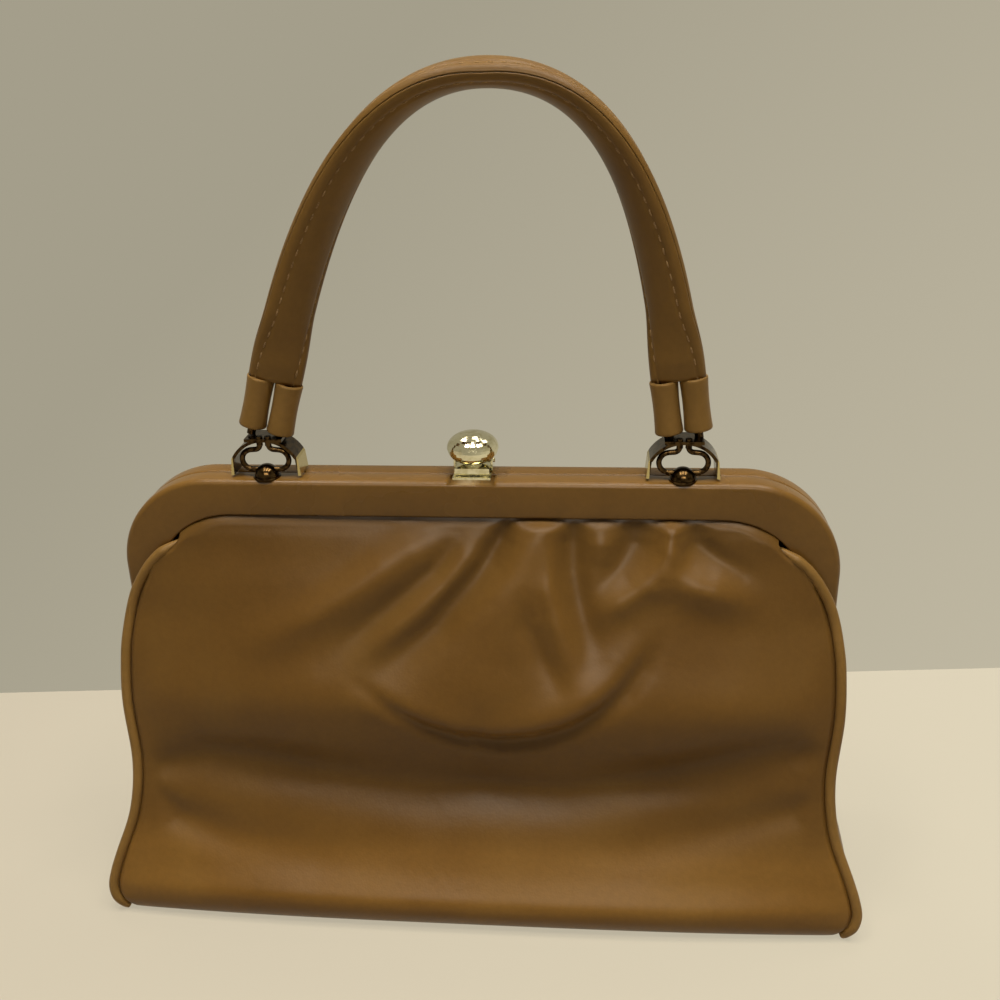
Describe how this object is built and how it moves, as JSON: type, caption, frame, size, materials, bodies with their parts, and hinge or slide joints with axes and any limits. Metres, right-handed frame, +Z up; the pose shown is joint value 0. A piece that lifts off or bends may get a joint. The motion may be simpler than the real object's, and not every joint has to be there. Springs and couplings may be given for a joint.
{
  "type": "framed handbag",
  "caption": "Leather handbag on a hinged two-part frame, with one padded arched handle on hinged rings and a domed lift clasp.",
  "frame": {"origin": "middle of the base, on the surface the bag stands on", "axes": "+Z up, -Y towards the front with the clasp's catch, +X to the right as seen from the front"},
  "size_m": [0.2998, 0.097, 0.319],
  "materials": {
    "smooth_tan_leather": "smooth, waxed, softly shiny",
    "soft_tan_leather": "smooth, softly wrinkled",
    "piping_leather": "smooth, rolled",
    "lining_cloth": "plain weave, matt",
    "padding_felt": "pressed felt",
    "base_fibreboard": "pressed board, matt",
    "bright_polished_brass": "polished, pale gold",
    "dark_polished_brass": "polished, aged to bronze",
    "steel_channel": "rolled strip"
  },
  "bodies": {
    "front_half": {"frame_front_core": "steel_channel", "frame_front_cover": "smooth_tan_leather", "frame_hinge_rivet_left": "steel_channel", "frame_hinge_rivet_right": "steel_channel", "front_panel": "soft_tan_leather", "rear_panel": "soft_tan_leather", "gusset_left": "soft_tan_leather", "gusset_right": "soft_tan_leather", "base_panel": "soft_tan_leather", "base_board": "base_fibreboard", "piping_front_left": "piping_leather", "piping_front_right": "piping_leather", "piping_rear_left": "piping_leather", "piping_rear_right": "piping_leather", "lining_front": "lining_cloth", "lining_rear": "lining_cloth", "lining_gusset_left": "lining_cloth", "lining_gusset_right": "lining_cloth", "lining_base": "lining_cloth", "inner_pocket": "lining_cloth", "handle_post_left": "dark_polished_brass", "handle_post_right": "dark_polished_brass", "post_washer_left": "steel_channel", "post_washer_right": "steel_channel", "clasp_catch": "bright_polished_brass", "catch_rivets": "bright_polished_brass"},
    "rear_half": {"frame_rear_core": "steel_channel", "frame_rear_cover": "smooth_tan_leather", "clasp_bracket": "bright_polished_brass", "bracket_rivets": "bright_polished_brass", "clasp_hinge_pin": "bright_polished_brass", "clasp_spring": "steel_channel"},
    "clasp": {"clasp_lever": "bright_polished_brass", "knob_cup": "bright_polished_brass", "knob_dome": "bright_polished_brass", "knob_stud": "bright_polished_brass"},
    "handle": {"handle_ring_left": "dark_polished_brass", "handle_ring_right": "dark_polished_brass", "stirrup_left": "dark_polished_brass", "stirrup_right": "dark_polished_brass", "sleeve_left_outer": "smooth_tan_leather", "sleeve_left_inner": "smooth_tan_leather", "sleeve_right_inner": "smooth_tan_leather", "sleeve_right_outer": "smooth_tan_leather", "handle_core": "padding_felt", "handle_outer_leather": "smooth_tan_leather", "handle_inner_leather": "smooth_tan_leather"}
  },
  "joints": [
    {"name": "frame_hinge", "type": "hinge", "parent": "front_half", "child": "rear_half", "pos_m": [0, 0, 0.121], "axis": [-1, 0, 0], "range_deg": [0, 60], "deforming": ["rear_panel", "gusset_left", "gusset_right", "lining_rear", "lining_gusset_left", "lining_gusset_right", "piping_rear_left", "piping_rear_right"]},
    {"name": "clasp_lift", "type": "hinge", "parent": "rear_half", "child": "clasp", "pos_m": [0, 0.00665, 0.178], "axis": [-1, 0, 0], "range_deg": [0, 25], "stiffness_Nm_per_rad": 0.05, "springref_deg": -17.19, "deforming": ["clasp_spring"]},
    {"name": "handle_hinge", "type": "hinge", "parent": "front_half", "child": "handle", "pos_m": [0, -0.00487, 0.178], "axis": [1, 0, 0], "range_deg": [0, 110]}
  ]
}
